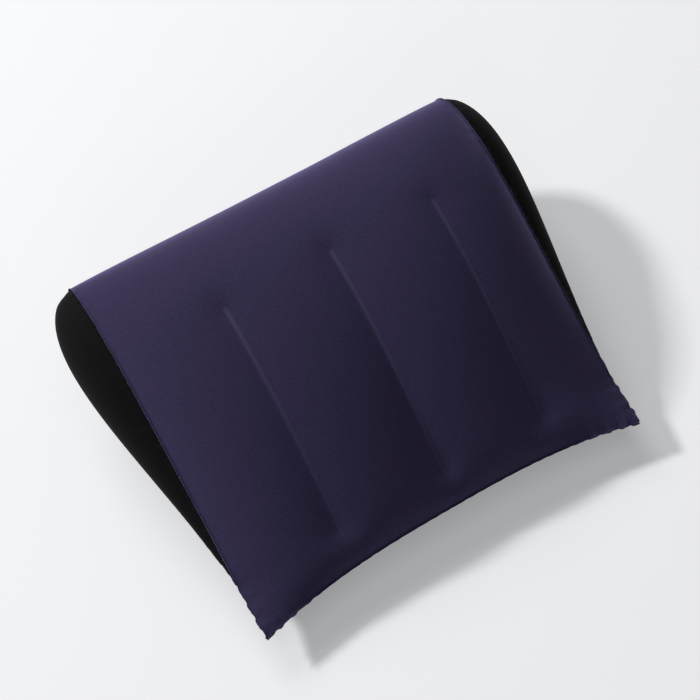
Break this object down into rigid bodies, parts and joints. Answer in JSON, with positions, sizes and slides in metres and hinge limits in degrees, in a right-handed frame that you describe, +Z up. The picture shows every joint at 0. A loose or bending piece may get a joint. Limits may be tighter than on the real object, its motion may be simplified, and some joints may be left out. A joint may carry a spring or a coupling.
{
  "type": "inflatable wedge pillow",
  "caption": "Inflatable wedge camp pillow: flocked top rolled over a thick back ridge, thin welded front, black teardrop side gussets, inner webs and a push-in air valve behind.",
  "frame": {"origin": "centre of the bounding box on the ground, with the pillow lying on its underside", "axes": "+X across the pillow to its right seen from the thin front edge, +Y from the front edge to the back ridge, +Z up"},
  "size_m": [0.518, 0.4052, 0.2007],
  "materials": {
    "flocked_film": "short purple flock on vinyl film, soft sheen",
    "plain_film": "black vinyl film, semi-matt",
    "valve_vinyl": "smooth dark grey soft vinyl"
  },
  "bodies": {
    "bag": {"top_panel": "flocked_film", "bottom_panel": "plain_film", "left_gusset": "plain_film", "right_gusset": "plain_film", "web_left": "plain_film", "web_centre": "plain_film", "web_right": "plain_film", "valve_base": "valve_vinyl", "plug_strap": "valve_vinyl"},
    "stem": {"valve_stem": "valve_vinyl"},
    "flap": {"valve_flap": "valve_vinyl"},
    "plug": {"valve_plug": "valve_vinyl"}
  },
  "joints": [
    {"name": "stem_pull", "type": "slide", "parent": "bag", "child": "stem", "axis": [0.0007, 0.9749, -0.2229], "range_m": [0, 0.012], "deforming": ["plug_strap"]},
    {"name": "plug_pull", "type": "slide", "parent": "stem", "child": "plug", "axis": [0.0007, 0.9749, -0.2229], "range_m": [0, 0.012], "deforming": ["plug_strap"]},
    {"name": "flap_open", "type": "hinge", "parent": "stem", "child": "flap", "pos_m": [0.06552, 0.1724, 0.0987], "axis": [-1, 0.0007, -0.0002], "range_deg": [0, 55], "stiffness_Nm_per_rad": 0.0002}
  ]
}
